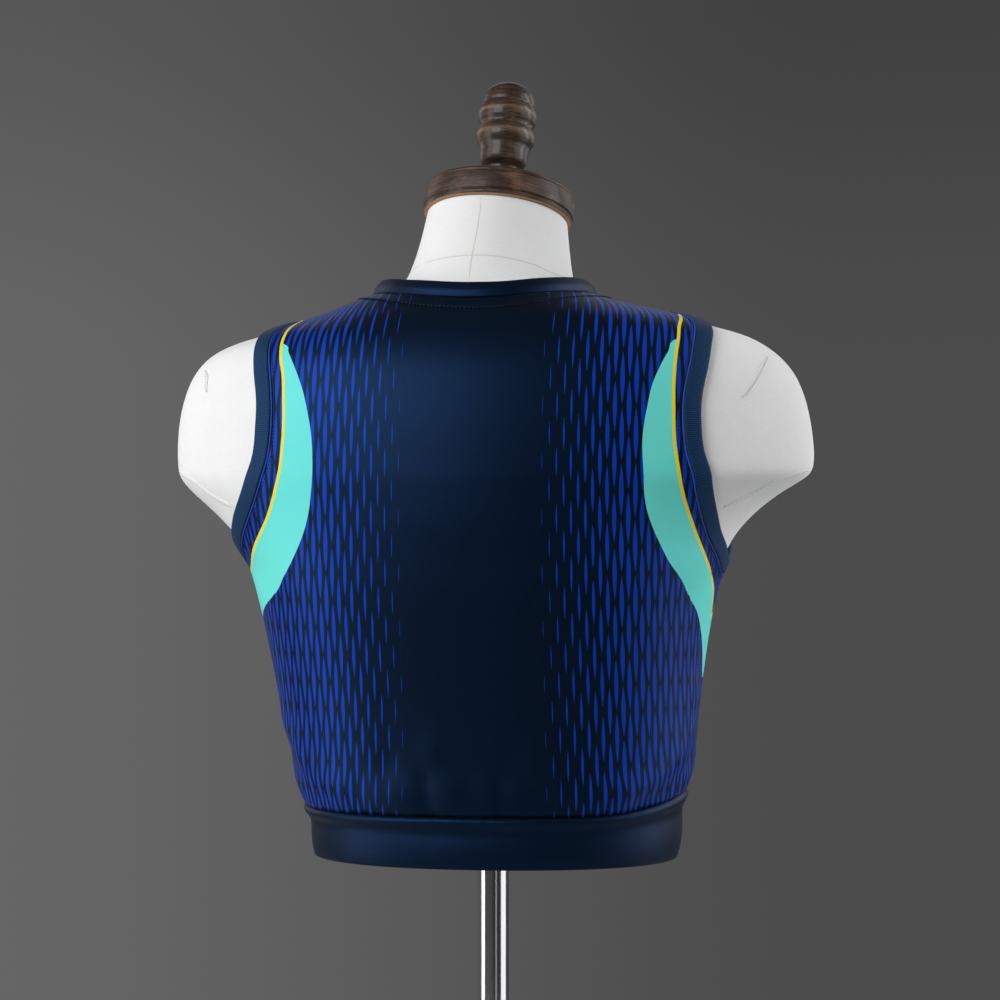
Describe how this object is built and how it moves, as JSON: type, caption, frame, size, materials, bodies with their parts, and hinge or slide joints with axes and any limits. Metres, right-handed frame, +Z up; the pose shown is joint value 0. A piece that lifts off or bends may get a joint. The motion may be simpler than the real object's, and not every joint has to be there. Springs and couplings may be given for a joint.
{
  "type": "crop top on a dress form",
  "caption": "Sleeveless crop top with banded neck, armholes and hem, worn by a limbless dress form on a pole and round foot.",
  "frame": {"origin": "centre of the round foot's underside, on the pole's axis", "axes": "+Z up along the pole, -Y the garment's front, +X the wearer's left"},
  "size_m": [0.4145, 0.24, 0.7469],
  "materials": {
    "navy_satin_jersey": "satin",
    "steel_navy_rib": "matte",
    "off_white_form_jersey": "matte",
    "dark_turned_wood": "satin",
    "chrome": "polished",
    "painted_steel": "satin"
  },
  "bodies": {
    "root": {"back_panel": "navy_satin_jersey", "front_panel": "navy_satin_jersey", "neckband": "navy_satin_jersey", "armhole_band_left": "steel_navy_rib", "armhole_band_right": "steel_navy_rib", "hem_band": "navy_satin_jersey", "form_body": "off_white_form_jersey", "neck_cap": "dark_turned_wood", "finial": "dark_turned_wood", "pole": "chrome", "base": "painted_steel"}
  },
  "joints": []
}
